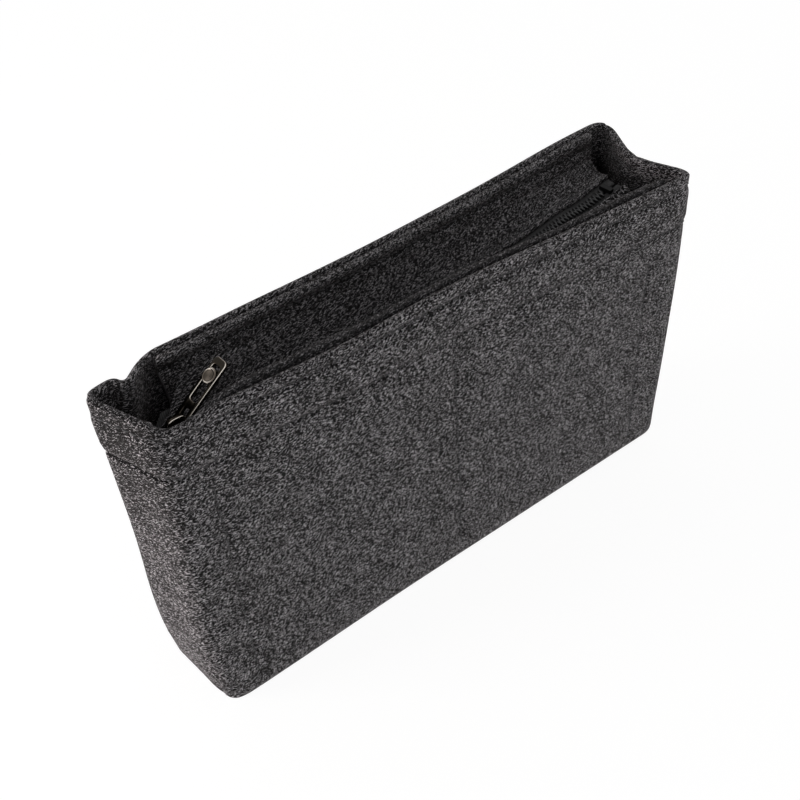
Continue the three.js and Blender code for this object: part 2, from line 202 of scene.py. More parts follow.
# faces of a tube that is capped flat at both ends
def tubeFaces(count, size, first=0):
    faces = loftFaces(count, size)[: (count - 1) * size]
    faces += [tuple(range(size)), tuple((count - 1) * size + p for p in reversed(range(size)))]
    return [tuple(first + p for p in face) for face in faces]


# sections of a thick sheet, from the rows of its two faces
def sheetSections(outer, inner):
    return np.concatenate([outer, inner[::-1]]).transpose(1, 0, 2)


# felt coordinates: one length along the piece, and one round its section
def runGrid(along, section, start=0.0):
    rise = start + np.cumsum(np.linalg.norm(np.diff(section, axis=0, prepend=section[:1]), axis=1))
    return np.stack(np.broadcast_arrays(along, rise[None, :]), axis=-1)


def loft(name, sections, material, run=None, paintedLightAndTone=None):
    sections = np.asarray(sections, float)
    count, size, _ = sections.shape
    flat = None if run is None else np.asarray(run, float).reshape(-1, 2)
    marks = None if paintedLightAndTone is None else np.asarray(paintedLightAndTone, float).reshape(-1)
    return addObject(name, sections.reshape(-1, 3), loftFaces(count, size), material, flat, marks)


# a piece stands for one node of the solids, and moves with its body
def settle(piece, node, body):
    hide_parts(node)
    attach(piece, body)
    return piece


def unit(vectors):
    return vectors / np.maximum(np.linalg.norm(vectors, axis=-1, keepdims=True), 1e-9)


# tube sections round a path, turned by the direction given at each point
def tubeSections(path, toward, radius, steps):
    ahead = unit(np.gradient(path, axis=0))
    side = unit(np.cross(ahead, toward))
    up = np.cross(side, ahead)
    angles = np.arange(steps) * 2 * math.pi / steps
    ring = np.cos(angles)[None, :, None] * side[:, None, :] + np.sin(angles)[None, :, None] * up[:, None, :]
    return path[:, None, :] + ring * np.asarray(radius)[:, None, None]


# finishes

feltFinish = {
    "fibres": [  # turn in degrees, length, width
        (12, 1.9, 0.34),
        (38, 1.8, 0.32),
        (-12, 1.3, 0.34),
    ],
    "fibreRange": (0.54, 0.80),
    "fibreShift": 17.3, "fibreTwist": 0.25,
    "speckSize": 0.36, "speckRange": (0.32, 0.68), "speckShift": 5.0,
    "mottle": (9.8, 7.0, 12, 71.0, 3.0),  # length, width, turn, shift, detail
    "mix": (0.86, 0.20, 0.30),  # fibres, specks, cloudy patches
    "even": 0.41,  # middle tone, which a calmer felt draws in to
    # how far the painted light and shade marks move the tone
    "paintedLightAndTone": 0.08,
    "ramp": [
        (0.03, (0.0006, 0.0006, 0.0006)),
        (0.17, (0.0025, 0.0024, 0.0025)),
        (0.31, (0.0104, 0.0099, 0.0104)),
        (0.45, (0.0435, 0.0415, 0.0435)),
        (0.59, (0.1800, 0.1720, 0.1800)),
        (0.70, (0.6000, 0.5730, 0.5900)),
    ],
    "roughness": 0.93, "specular": 0.15,
    "sheen": 0.08, "sheenRoughness": 0.45, "sheenTint": (1.0, 0.90, 0.86, 1),
    "bump": (0.5, 0.0004),  # strength, and depth in metres
}


def feltMaterial(name, contrast):
    material, tree, surface = newMaterial(name)
    run = feltRun(tree)

    def cloud(length, width, turn=0.0, offset=0.0, detail=1.0, twist=0.0):
        laid = addNode(tree, "Mapping", {"vector_type": "TEXTURE"}, Vector=run,
                       Location=(offset, offset * 0.7, 0), Rotation=(0, 0, math.radians(turn)),
                       Scale=(length, width, 1)).outputs[0]
        return addNode(tree, "TexNoise", {"noise_dimensions": "2D"}, Vector=laid,
                       Scale=1.0, Detail=detail, Roughness=0.5, Distortion=twist).outputs[0]

    strands = None
    for index, (turn, length, width) in enumerate(feltFinish["fibres"]):
        shift = feltFinish["fibreShift"] * (index + 1)
        field = cloud(length, width, turn, shift, 1.0, feltFinish["fibreTwist"])
        strands = field if strands is None else maths(tree, "MAXIMUM", strands, field)
    strands = fitted(tree, strands, *feltFinish["fibreRange"])
    size = feltFinish["speckSize"]
    specks = fitted(tree, cloud(size, size, 0, feltFinish["speckShift"]), *feltFinish["speckRange"])
    mottle = cloud(*feltFinish["mottle"])
    paintedLightAndTone = addNode(tree, "Attribute", {"attribute_name": "paintedLightAndTone"}).outputs["Fac"]
    fibreShare, speckShare, mottleShare = feltFinish["mix"]
    tone = maths(tree, "MULTIPLY", strands, fibreShare)
    tone = addShare(tree, tone, specks, speckShare)
    tone = addShare(tree, tone, maths(tree, "SUBTRACT", mottle, 0.5), mottleShare)
    even = feltFinish["even"]
    tone = addShare(tree, even, maths(tree, "SUBTRACT", tone, even), contrast)
    # painted light and shade: paler on lit folds and edges, darker in shaded creases and sewn rows, and paler
    # cut edges
    tone = addShare(tree, tone, paintedLightAndTone, feltFinish["paintedLightAndTone"])
    plug(tree, surface, Base_Color=ramp(tree, tone, feltFinish["ramp"]),
         Normal=bumped(tree, tone, *feltFinish["bump"]), Roughness=feltFinish["roughness"],
         Specular_IOR_Level=feltFinish["specular"], Sheen_Weight=feltFinish["sheen"],
         Sheen_Roughness=feltFinish["sheenRoughness"], Sheen_Tint=feltFinish["sheenTint"])
    return material


def threadMaterial():
    material, tree, surface = newMaterial("blackThread")
    twist = addNode(tree, "TexWave", {"bands_direction": "DIAGONAL"}, Vector=objectPlace(tree),
                    Scale=900.0, Distortion=1.5).outputs[1]
    colour = ramp(tree, twist, [(0.0, (0.012, 0.012, 0.013)), (1.0, (0.050, 0.048, 0.050))])
    plug(tree, surface, Base_Color=colour, Normal=bumped(tree, twist, 0.5, 0.0001),
         Roughness=0.6, Sheen_Weight=0.2)
    return material


def tapeMaterial():
    material, tree, surface = newMaterial("wovenTape")
    rib = addNode(tree, "Mapping", {"vector_type": "TEXTURE"}, Vector=feltRun(tree),
                  Rotation=(0, 0, math.radians(58)), Scale=(1.4, 1.4, 1)).outputs[0]
    weave = addNode(tree, "TexWave", Vector=rib, Scale=1.0, Distortion=0.6, Detail=1.0).outputs[1]
    colour = ramp(tree, weave, [(0.1, (0.007, 0.007, 0.0075)), (0.9, (0.030, 0.029, 0.030))])
    plug(tree, surface, Base_Color=colour, Normal=bumped(tree, weave, 0.6, 0.0002),
         Roughness=0.82, Sheen_Weight=0.15)
    return material


def coilMaterial(name, dark, pale, specular):
    material, tree, surface = newMaterial(name)
    scuff = addNode(tree, "TexNoise", Vector=objectPlace(tree), Scale=420.0, Detail=3.0).outputs[0]
    colour = ramp(tree, scuff, [(0.3, (dark, dark, dark * 1.1)), (0.75, (pale, pale, pale * 1.03))])
    plug(tree, surface, Base_Color=colour, Roughness=fitted(tree, scuff, 0.3, 0.7, 0.42, 0.6),
         Specular_IOR_Level=specular)
    return material


# plated metal with dark flats, and bevels painted bright where the mark is high, as a painted reflection of
# the bright surroundings
def nickelMaterial():
    material, tree, surface = newMaterial("darkNickel")
    place = objectPlace(tree)
    brushed = addNode(tree, "Mapping", Vector=place, Scale=(240.0, 3200.0, 3200.0)).outputs[0]
    scratch = addNode(tree, "TexNoise", Vector=brushed, Scale=1.0, Detail=4.0).outputs[0]
    cloud = addNode(tree, "TexNoise", Vector=place, Scale=500.0, Detail=2.0).outputs[0]
    paintedLightAndTone = addNode(tree, "Attribute", {"attribute_name": "paintedLightAndTone"}).outputs["Fac"]
    shine = addShare(tree, paintedLightAndTone, maths(tree, "SUBTRACT", cloud, 0.5), 0.12)
    colour = ramp(tree, shine, [(0.0, (0.021, 0.018, 0.014)), (0.30, (0.062, 0.052, 0.042)),
                                (0.55, (0.165, 0.138, 0.115)), (1.0, (0.900, 0.840, 0.770))])
    plug(tree, surface, Base_Color=colour, Metallic=1.0, Normal=bumped(tree, scratch, 0.08, 0.00005),
         Roughness=fitted(tree, scratch, 0.3, 0.7, 0.16, 0.30))
    return material


felt = feltMaterial("charcoalFelt", 1.0)
cutFelt = feltMaterial("charcoalFeltCut", 0.5)
thread = threadMaterial()
wovenTape = tapeMaterial()
nylonCoil = coilMaterial("nylonCoil", 0.010, 0.030, 0.5)
blackStop = coilMaterial("blackStop", 0.002, 0.006, 0.15)
nickel = nickelMaterial()
print("finishes made")


# outline of the pouch, the same at every height as in the solids

pouch = {
    "height": 138,
    "length": 234,  # along the base
    "measured": 70,  # height at which lengths round the pouch are taken
    "felt": 3.0,
    "rounded": 0.9,  # share of a short edge that two roundings may take
    "rimEdge": 1.1,  # softness of the cut edge
    # place at the base, move up to the rim, rounding at both, how early it moves, steps to the next
    "corners": {
        "leftLip": ((-117, 4), (-14, 5), (2, 9), 0.75, 14),
        "frontLeft": ((-117, -24), (-3.5, 2.5), (7, 6), 1.0, 220),
        "frontRight": ((117, -24), (0.5, -5.5), (7, 9), 1.0, 12),
        "rightFold": ((117, 3), (-7.5, -7), (4, 9), 1.4, 14),
        "backRight": ((117, 24), (9.5, 3.5), (7, 14), 1.0, 74),
        "backMiddle": ((0, 24), (-10, -8.2), (50, 50), 1.0, 74),
        "backLeft": ((-117, 24), (12, -10), (7, 7), 1.5, 10),
        "leftFold": ((-117, 11), (2.4, -5), (1, 2), 1.4, 4),
        "leftElbow": ((-117, 8), (0.5, 2.5), (1, 3), 1.0, 8),
    },
    "cornerSteps": 12,
}
halfLength = pouch["length"] / 2
cornerTable = list(pouch["corners"].values())
cornerStart = {}
columnCount = 0
for cornerName, corner in pouch["corners"].items():
    cornerStart[cornerName] = columnCount
    columnCount += pouch["cornerSteps"] + corner[4]


def midCorner(name):
    return cornerStart[name] + pouch["cornerSteps"] // 2


def columnRun(fromCorner, toCorner):
    start, end = midCorner(fromCorner), midCorner(toCorner)
    return (start + np.arange((end - start) % columnCount + 1)) % columnCount


def outline(z):
    climb = min(max(z, 0), pouch["height"]) / pouch["height"]
    places = [np.array(base, float) + np.array(move) * climb ** bend
              for base, move, _, bend, _ in cornerTable]
    cuts = [cut[0] + (cut[1] - cut[0]) * climb for _, _, cut, _, _ in cornerTable]
    total = len(places)

    def roundingStart(i, j):
        edge = np.linalg.norm(places[j] - places[i])
        room = min(1, edge * pouch["rounded"] / (cuts[i] + cuts[j]))
        return places[i] + (places[j] - places[i]) * (cuts[i] * room / edge)

    points = []
    for i in range(total):
        after = (i + 1) % total
        start, end = roundingStart(i, i - 1), roundingStart(i, after)
        t = np.linspace(0, 1, pouch["cornerSteps"] + 1)[:, None]
        points.append((1 - t) ** 2 * start + 2 * t * (1 - t) * places[i] + t ** 2 * end)
        t = np.linspace(0, 1, cornerTable[i][4] + 1)[1:-1, None]
        points.append(end + (roundingStart(after, i) - end) * t)
    return np.concatenate(points)


def inwardNormals(points):
    ahead = unit(np.roll(points, -1, axis=0) - points)
    along = unit(ahead + np.roll(ahead, 1, axis=0))
    return np.stack([-along[:, 1], along[:, 0]], axis=1)


middle = outline(pouch["measured"])
runLength = np.concatenate([[0], np.cumsum(np.linalg.norm(np.diff(middle, axis=0), axis=1))])
wholeRun = runLength[-1] + np.linalg.norm(middle[0] - middle[-1])


def runDistance(column):
    gap = np.abs(runLength - runLength[column])
    return np.minimum(gap, wholeRun - gap)


# how strongly each column belongs to a stretch between two corners, with soft ends
def stretchWeight(fromCorner, toCorner, soft):
    start, end = runLength[midCorner(fromCorner)], runLength[midCorner(toCorner)]
    length = (end - start) % wholeRun
    along = (runLength - start) % wholeRun
    return smoothStep(-soft, soft, np.where(along > length + soft * 2, along - wholeRun, along)) * (
        1 - smoothStep(length - soft, length + soft, along))


drape = {
    "leftBulge": (1.8, 40, 30), "rightBulge": (2.4, 80, 48),  # size, height, spread
    "bandPuff": 0.55,  # the doubled band above the flap row stands proud
    "pocketPuff": 0.5,
    "grooveDepth": 0.6, "grooveWidth": 0.9, "rowShade": 0.8,
    "leftCrease": 0.8, "footPush": 1.2,
    "rimRow": 133, "frontFlapRow": 116, "backFlapRow": 129,
    "pocketRows": (-103, -3, 97), "pocketFoot": 6, "pocketTop": 108,
    "seamDepth": 0.6, "seamWidth": 1.1,
    "wrinkle": 0.35,
    "ripples": ((1.0, 0.083, 0.031, 0.7), (0.7, 0.051, -0.047, 2.1)),  # size, along, up, shift
    "crossRipple": (0.5, 0.17, 0.061, 4.0), "crossRise": (0.043, 0.4),
    "frontDip": ((-121, 3.0), (-112, 4.8), (-104, 4.6), (-97, 3.4), (-80, 3.4),
                 (-45, 2.8), (-27, 1.5), (-9, 0.5), (15, 0)),
    "backLift": 0.8, "rimWave": 0.25,
    "foldFrontLeft": 2.6, "foldFrontRight": 7.0, "foldLeft": 12.0, "foldRight": 7.0, "foldBack": 6.0,
}
seamColumns = [midCorner("leftLip"), midCorner("rightFold")]
frontWeight = stretchWeight("frontLeft", "frontRight", 4)
leftWeight = stretchWeight("leftLip", "frontLeft", 6)
rightWeight = stretchWeight("frontRight", "rightFold", 6)
backWeight = stretchWeight("backRight", "backLeft", 6)
dipWeight = stretchWeight("frontLeft", "frontRight", 9)
backHalf = stretchWeight("rightFold", "leftLip", 3)


def smoothRound(values, reach):
    kernel = np.hanning(reach * 2 + 3)[1:-1]
    padded = np.concatenate([values[-reach:], values, values[:reach]])
    return np.convolve(padded, kernel / kernel.sum(), "valid")


def foldRadii():
    x = np.clip((middle[:, 0] + halfLength) / pouch["length"], 0, 1)
    front = drape["foldFrontLeft"] + (drape["foldFrontRight"] - drape["foldFrontLeft"]) * x
    radii = np.full(columnCount, drape["foldBack"])
    radii = radii + (front - radii) * frontWeight
    radii = radii + (drape["foldLeft"] - radii) * leftWeight
    radii = radii + (drape["foldRight"] - radii) * rightWeight
    return smoothRound(radii, 8)


foldRadius = foldRadii()
flapRow = drape["frontFlapRow"] + (drape["backFlapRow"] - drape["frontFlapRow"]) * backHalf


def pocketShare(z):
    risen = smoothStep(drape["pocketFoot"] - 3, drape["pocketFoot"] + 3, z)
    return risen * (1 - smoothStep(drape["pocketTop"] - 1, drape["pocketTop"] + 3, z))


# how close each column is to a sewn row at one height
def sewnRows(z):
    width = drape["grooveWidth"]
    rows = bell(z - drape["rimRow"], width) * (frontWeight + backWeight)
    rows = rows + bell(z - flapRow, width) * (1 - 0.7 * rightWeight)
    upright = sum(bell(middle[:, 0] - row, width) for row in drape["pocketRows"])
    return rows + upright * frontWeight * pocketShare(z)


# how far the felt stands out from the plain outline, by column, at one height
def softness(z):
    height = pouch["height"]
    x = middle[:, 0]
    out = 0.0
    for weight, bulge in ((leftWeight, "leftBulge"), (rightWeight, "rightBulge")):
        size, level, spread = drape[bulge]
        out = out + size * weight * bell(z - level, spread)

    def wave(size, along, up, shift):
        return size * np.sin(runLength * along + z * up + shift)

    upward, shift = drape["crossRise"]
    ripple = sum(wave(*one) for one in drape["ripples"])
    ripple = ripple + wave(*drape["crossRipple"]) * np.sin(z * upward + shift)
    fade = smoothStep(4, 30, z) * (0.35 + 0.65 * (1 - smoothStep(height - 30, height - 4, z)))
    out = out + drape["wrinkle"] * ripple * fade
    pushed = drape["footPush"] * frontWeight * (1 - smoothStep(-halfLength, -20, x))
    out = out + pushed * (1 - smoothStep(5, 40, z))
    band = smoothStep(flapRow, flapRow + 4, z) * (1 - smoothStep(drape["rimRow"] - 4, drape["rimRow"], z))
    out = out + drape["bandPuff"] * band
    inPocket = pocketShare(z)
    left, centre, right = drape["pocketRows"]
    panes = np.clip(1 - ((x - (left + centre) / 2) / ((centre - left) / 2)) ** 2, 0, 1)
    panes = panes + np.clip(1 - ((x - (right + centre) / 2) / ((right - centre) / 2)) ** 2, 0, 1)
    out = out + frontWeight * inPocket * drape["pocketPuff"] * panes ** 0.5
    out = out - drape["grooveDepth"] * sewnRows(z)
    out = out - drape["leftCrease"] * leftWeight * bell(z - drape["frontFlapRow"], drape["grooveWidth"])
    for column in seamColumns:
        out = out - drape["seamDepth"] * bell(runDistance(column), drape["seamWidth"])
    return out


# the rim is not quite level: it dips at the front beside the slider
dipAlong = smoothRound(np.interp(middle[:, 0], *zip(*drape["frontDip"])), 6) * dipWeight


def rimLift(z):
    share = min(max(z, 0), pouch["height"]) / pouch["height"]
    x = middle[:, 0]
    lift = drape["backLift"] * backWeight + 0.8 * backWeight * bell(x - 95, 30)
    wave = drape["rimWave"] * frontWeight * np.sin(x * 0.055 + 1.1)
    return share ** 4 * (lift + wave) - share ** 6 * dipAlong


ringCache = {}


def plainRing(z):
    key = round(z, 4)
    if key not in ringCache:
        points = outline(z)
        ringCache[key] = (points, inwardNormals(points), softness(z), rimLift(z))
    return ringCache[key]


# every column's point at one height, a depth inward from the outer face
def wallRing(z, depth, out=1.0):
    points, inward, soft, lift = plainRing(z)
    return np.column_stack([points + inward * (depth - soft * out)[:, None], z + lift])


print("outline ready:", columnCount, "columns")


# felt panels: each is one wall, half of both ends and half of the base

panelRows = {
    "footLevels": 3,  # rows between the fold and the first even level
    "firstLevel": 15,
    "arc": 4,
    "foldArc": 8,
    "baseShares": (0.0, 0.35, 0.7),
    "baseSeam": (4, 3),  # y of the seam under the base, at its two ends
    # painted sheen on the base fold and on the rounded rim edge
    "foldSheen": 0.8, "rimSheen": (0.3, 0.7),
    "sewnGap": 0.02,  # a hair of room at the sewn ends
}


def wallLevels():
    levels = list(np.arange(panelRows["firstLevel"], 110, 4.5))
    for start, end, step in ((111, 122, 0.8), (123, 130, 2.0), (130.2, 136.4, 0.7)):  # finer at the sewn rows
        levels += list(np.arange(start, end, step))
    return [z for z in levels if z < pouch["height"] - pouch["rimEdge"] - 0.2]


# column by column heights, because the base fold's radius changes along the run
def ringAt(heights, depth):
    low, high = heights.min(), heights.max()
    if high - low < 1e-6:
        return wallRing(float(low), depth)
    grid = np.linspace(low, high, 7)
    stack = np.stack([wallRing(float(z), 0.0)[:, :2] for z in grid])
    inward = plainRing(float(low))[1]
    place = (heights - low) / (high - low) * (len(grid) - 1)
    lower = np.minimum(place.astype(int), len(grid) - 2)
    share = (place - lower)[:, None]
    columns = np.arange(columnCount)
    flat = stack[lower, columns] * (1 - share) + stack[lower + 1, columns] * share
    flat = flat + inward * np.broadcast_to(depth, (columnCount,))[:, None]
    return np.column_stack([flat, heights])


def seamLine(points):
    reach = halfLength - foldRadius.max() - 1
    x = np.clip(points[:, 0], -reach, reach)
    start, end = panelRows["baseSeam"]
    return np.column_stack([x, start + (end - start) * (x + halfLength) / pouch["length"]])


def panelFaces():
    thick, edge, height = pouch["felt"], pouch["rimEdge"], pouch["height"]
    outer, inner, outerPaintedLight = [], [], []

    def addRow(outside, inside, paintedLightAndTone=0.0):
        outer.append(outside)
        inner.append(inside)
        outerPaintedLight.append(np.broadcast_to(paintedLightAndTone, (columnCount,)))

    footOuter = ringAt(foldRadius * 0, foldRadius)
    seam = seamLine(footOuter)
    for share in panelRows["baseShares"]:
        flat = seam + (footOuter[:, :2] - seam) * share
        addRow(*(np.column_stack([flat, np.full(columnCount, z)]) for z in (0.0, thick)))
    innerFold = np.maximum(foldRadius - thick, 0.8)
    # painted sheen along the base fold
    for angle in np.linspace(0, math.pi / 2, panelRows["foldArc"] + 1):
        out, down = math.sin(angle), math.cos(angle)
        addRow(ringAt(foldRadius * (1 - down), foldRadius * (1 - out)),
               ringAt(foldRadius - innerFold * down, foldRadius - innerFold * out),
               panelRows["foldSheen"] * math.sin(2 * angle))
    for step in range(1, panelRows["footLevels"] + 1):
        share = step / (panelRows["footLevels"] + 1)
        heights = foldRadius + (panelRows["firstLevel"] - foldRadius) * share
        addRow(ringAt(heights, 0.0), ringAt(heights, thick))
    # painted shade along the sewn rows
    for z in wallLevels():
        addRow(wallRing(z, 0.0), wallRing(z, thick), -drape["rowShade"] * sewnRows(z))
    # painted sheen on the rounded rim edge
    least, more = panelRows["rimSheen"]
    for angle in np.linspace(0, math.pi / 2, panelRows["arc"] + 1):
        z = height - edge + edge * math.sin(angle)
        depth = edge * (1 - math.cos(angle))
        addRow(wallRing(z, depth), wallRing(z, thick - depth), least + more * math.sin(angle))
    return np.array(outer), np.array(inner), np.array(outerPaintedLight)


# painted light and shade on the felt: a painted sheen at the outer corners, painted shade deep in the inner
# folds below the rim, and the left end painted paler to its foot and darker at the top; amount, spread along
# the run, corners
paintedLightAndShade = {
    "outer": (0.2, 7, ("frontLeft", "leftLip", "frontRight")),
    "inner": [
        (1.0, 9, ("leftFold", "backLeft")),
        (4.6, 9, ("backRight", "frontRight")),
        (2.2, 12, ("rightFold",)),
    ],
    "innerShare": 0.4, "innerFrom": 3, "innerTo": 26,  # below the rim
    "leftFoot": 0.3, "leftFootEnds": (10, 55), "leftTop": 1.5, "leftTopEnds": (75, 120),
}


def nearCorners(amount, spread, names):
    return amount * sum(bell(runDistance(midCorner(name)), spread) for name in names)


outerFace, innerFace, facePaintedLight = panelFaces()
# painted shade deep in the inner folds, below the rim
innerFoldShade = sum(nearCorners(*folds) for folds in paintedLightAndShade["inner"])
rimTop = pouch["height"]
belowRim = smoothStep(rimTop - paintedLightAndShade["innerFrom"], rimTop - paintedLightAndShade["innerTo"], innerFace[:, 0, 2])
innerPaintedLight = facePaintedLight * paintedLightAndShade["innerShare"] - belowRim[:, None] * innerFoldShade[None, :]
levelsUp = outerFace[:, 0, 2]
# painted light: the left end is painted paler to its foot and darker at the top, and the outer corners get a
# painted sheen
leftPaintedLight = paintedLightAndShade["leftFoot"] * (1 - smoothStep(*paintedLightAndShade["leftFootEnds"], levelsUp))
leftPaintedLight = leftPaintedLight - paintedLightAndShade["leftTop"] * smoothStep(*paintedLightAndShade["leftTopEnds"], levelsUp)
facePaintedLight = facePaintedLight + nearCorners(*paintedLightAndShade["outer"])[None, :] + leftPaintedLight[:, None] * leftWeight[None, :]


# length along each row from one column, so that the fibres keep their size where the felt folds
def lengthAlong(rows, reference):
    steps = np.linalg.norm(np.diff(rows[:, :, :2], axis=1, prepend=rows[:, :1, :2]), axis=2)
    lengths = np.cumsum(steps, axis=1)
    return lengths - lengths[:, reference:reference + 1]


def panelPiece(node, fromCorner, toCorner, wallCorner):
    columns = columnRun(fromCorner, toCorner)
    outer, inner = outerFace[:, columns].copy(), innerFace[:, columns].copy()
    gap = panelRows["sewnGap"]
    for face in (outer, inner):
        for last, neighbour in ((0, 1), (-1, -2)):
            toward = face[:, neighbour] - face[:, last]
            face[:, last] += toward * (gap / np.maximum(np.linalg.norm(toward, axis=1), gap))[:, None]
    sections = sheetSections(outer, inner)
    foot = len(panelRows["baseShares"])
    reference = (cornerStart[wallCorner] + pouch["cornerSteps"] * 3 - columns[0]) % columnCount
    along = [lengthAlong(face, reference) for face in (outer, inner)]
    for lengths in along:
        lengths[:foot] = lengths[foot]
    along = np.concatenate([along[0], along[1][::-1]]).T
    run = runGrid(along, sections[reference])
    # painted light and shade of the outer and inner faces
    paintedLightAndTone = np.concatenate([facePaintedLight[:, columns], innerPaintedLight[::-1][:, columns]]).T
    settle(loft(node + "_felt", sections, felt, run, paintedLightAndTone), node, "pouch")


panelPiece("front_panel", "leftLip", "rightFold", "frontLeft")
panelPiece("back_panel", "rightFold", "leftLip", "backRight")
print("felt panels sewn")


# layers against the walls: rim facings and the slip pocket

layer = {
    "edge": 0.8,
    "facing": {
        "depth": 3.8, "thickness": 3.0, "top": 137, "foot": 112,
        # shade is a painted shade over the whole facing band
        "lean": 0.7, "pinch": 0.45, "shade": 0.3, "felt": cutFelt,
    },
    "backFacing": {
        "depth": 3.35, "thickness": 3.4, "top": 137.3, "foot": 112,
        "lean": 0.0, "pinch": 1.6, "shade": 0.0, "felt": felt,
        "firstReach": (9, 9), "lastReach": (3, 8.5),  # past its span, at the foot and at the top
    },
    "pocket": {
        "depth": 3.3, "thickness": 2.0, "top": 108, "foot": 6,
        "lean": 0.0, "pinch": 0.0, "shade": 0.0, "felt": felt,
    },
    "frontSpan": (-108, 105), "backSpan": (-95, 100), "pocketSpan": (-103, 97),
    "facingLevel": 125, "pocketLevel": 60,  # heights at which the spans are measured
    "frontLift": ((-108, -4), (-100, -3.2), (-96, -1.6), (-90, 0.8), (-84, 1.5), (-45, 1.5), (-27, 1.0),
                  (0, 0.6), (105, 0.6)),
    "rowSteps": (-2.1, -1.4, -0.7, 0.0, 0.7, 1.4, 2.1),  # extra levels round the sewn row
    # the cut top edge is paler, and pinchShade is a painted shade in the pinched row
    "wobble": 0.35, "pinchWidth": 1.1, "paleEdge": 0.4, "pinchShade": 2.5,
    "runStart": (40, 400),  # keeps a layer's fibres apart from the wall's
}
frontColumns = np.arange(cornerStart["frontLeft"] + pouch["cornerSteps"], cornerStart["frontRight"] + 1)
backColumns = np.arange(cornerStart["backRight"] + pouch["cornerSteps"], cornerStart["backLeft"] + 1)


def columnsWithin(columns, span, z):
    x = outline(z)[columns, 0]
    return columns[(x >= span[0]) & (x <= span[1])]


def layerPiece(node, columns, cut, lift=0.0):
    edge, z0, z1 = layer["edge"], cut["foot"], cut["top"]
    near, far = cut["depth"], cut["depth"] + cut["thickness"]
    quarter = np.linspace(0, math.pi / 2, 4)
    profile = [(z0 + edge * (1 - math.cos(a)), edge * (1 - math.sin(a))) for a in quarter]
    profile += [(z, 0.0) for z in np.linspace(z0 + edge, z1 - edge, 9 + int((z1 - z0) / 8))[1:-1]]
    if z0 < drape["rimRow"] < z1:
        profile += [(drape["rimRow"] + step, 0.0) for step in layer["rowSteps"]]
        profile.sort()
    profile += [(z1 - edge + edge * math.sin(a), edge * (1 - math.cos(a))) for a in quarter]
    wobble = np.sin(middle[:, 0] * 0.09 + 0.6) + 0.6 * np.sin(middle[:, 0] * 0.23)
    outer, inner = [], []
    for z, rounding in profile:
        off = cut["lean"] * smoothStep(drape["rimRow"], z1, z) * (1 + layer["wobble"] * wobble)
        pinch = cut["pinch"] * bell(z - drape["rimRow"], layer["pinchWidth"])
        raised = np.outer(lift * smoothStep(z0, z1, z), [0, 0, 1]) if np.ndim(lift) else 0.0
        outer.append((wallRing(z, near + rounding + off) + raised)[columns])
        inner.append((wallRing(z, far - rounding + off - pinch) + raised)[columns])
    sections = sheetSections(outer, inner)
    levels = np.array([z for z, _ in profile])
    heights = smoothStep(z0, z1, np.concatenate([levels, levels[::-1]]))
    along = runLength[columns] + layer["runStart"][0]
    if "firstReach" in cut:
        ends = []
        for end, nextIn, reach in ((0, 4, cut["firstReach"]), (-1, -5, cut["lastReach"])):
            ahead = unit((sections[end] - sections[nextIn]) * [1, 1, 0])
            ends.append(sections[end] + ahead * (reach[0] + (reach[1] - reach[0]) * heights)[:, None])
        sections = np.concatenate([ends[:1], sections, ends[1:]])
        along = np.concatenate([[along[0] - cut["firstReach"][1]], along, [along[-1] + cut["lastReach"][1]]])
    run = runGrid(along[:, None], sections[len(along) // 2], layer["runStart"][1])
    # paler at the cut top edge; painted shade in the pinched sewn row and over the whole layer
    toneMarks = layer["paleEdge"] * smoothStep(z1 - 2, z1, levels)
    toneMarks = toneMarks - layer["pinchShade"] * cut["pinch"] * bell(levels - drape["rimRow"], 0.9) - cut["shade"]
    paintedLightAndTone = np.broadcast_to(np.concatenate([toneMarks, toneMarks[::-1]])[None, :], run.shape[:2])
    settle(loft(node + "_felt", sections, cut["felt"], run, paintedLightAndTone), node, "pouch")


frontFacing = columnsWithin(frontColumns, layer["frontSpan"], layer["facingLevel"])
backFacing = columnsWithin(backColumns, layer["backSpan"], layer["facingLevel"])
pocketColumns = columnsWithin(frontColumns, layer["pocketSpan"], layer["pocketLevel"])
frontLift = np.interp(middle[:, 0], *zip(*layer["frontLift"]))
layerPiece("front_rim_facing", frontFacing, layer["facing"], frontLift)
layerPiece("back_rim_facing", backFacing, layer["backFacing"])
layerPiece("front_pocket", pocketColumns, layer["pocket"])
print("facings and pocket laid in")


# chain line, taken from the slider's joint

chain = {
    "length": 203.04,
    "rise": 10, "climbLength": 80, "climbBend": 1.6,
    "sliderEnd": 185, "easeSlope": 0.14, "easeReach": 10,  # lies flatter where the slider stops
    "pivotOut": 1.4, "pivotUp": 5.4,  # from the chain's start to the pull's pivot
}
pivot = np.array(joints["pull_flip"]["pos_m"]) / mm
chainSide = -np.array(joints["pull_flip"]["axis"])
chainAhead = np.array([chainSide[1], -chainSide[0], 0])
chainUp = np.array([0.0, 0.0, 1.0])
chainOrigin = pivot - chainAhead * chain["pivotOut"] - chainUp * chain["pivotUp"]


def chainClimb(x):
    x = np.asarray(x, float)
    share = np.maximum(0, 1 - (chain["length"] - x) / chain["climbLength"])
    past = x - chain["sliderEnd"]
    ease = chain["easeSlope"] * past * bell(past, chain["easeReach"])
    return chain["rise"] * share ** chain["climbBend"] - ease


def chainPoint(x, y, z):
    x, y, z = np.broadcast_arrays(np.asarray(x, float), np.asarray(y, float), np.asarray(z, float))
    level = chainOrigin + x[..., None] * chainAhead + y[..., None] * chainSide
    return level + (z + chainClimb(x))[..., None] * chainUp


# zip flaps, with the tapes under their free edges

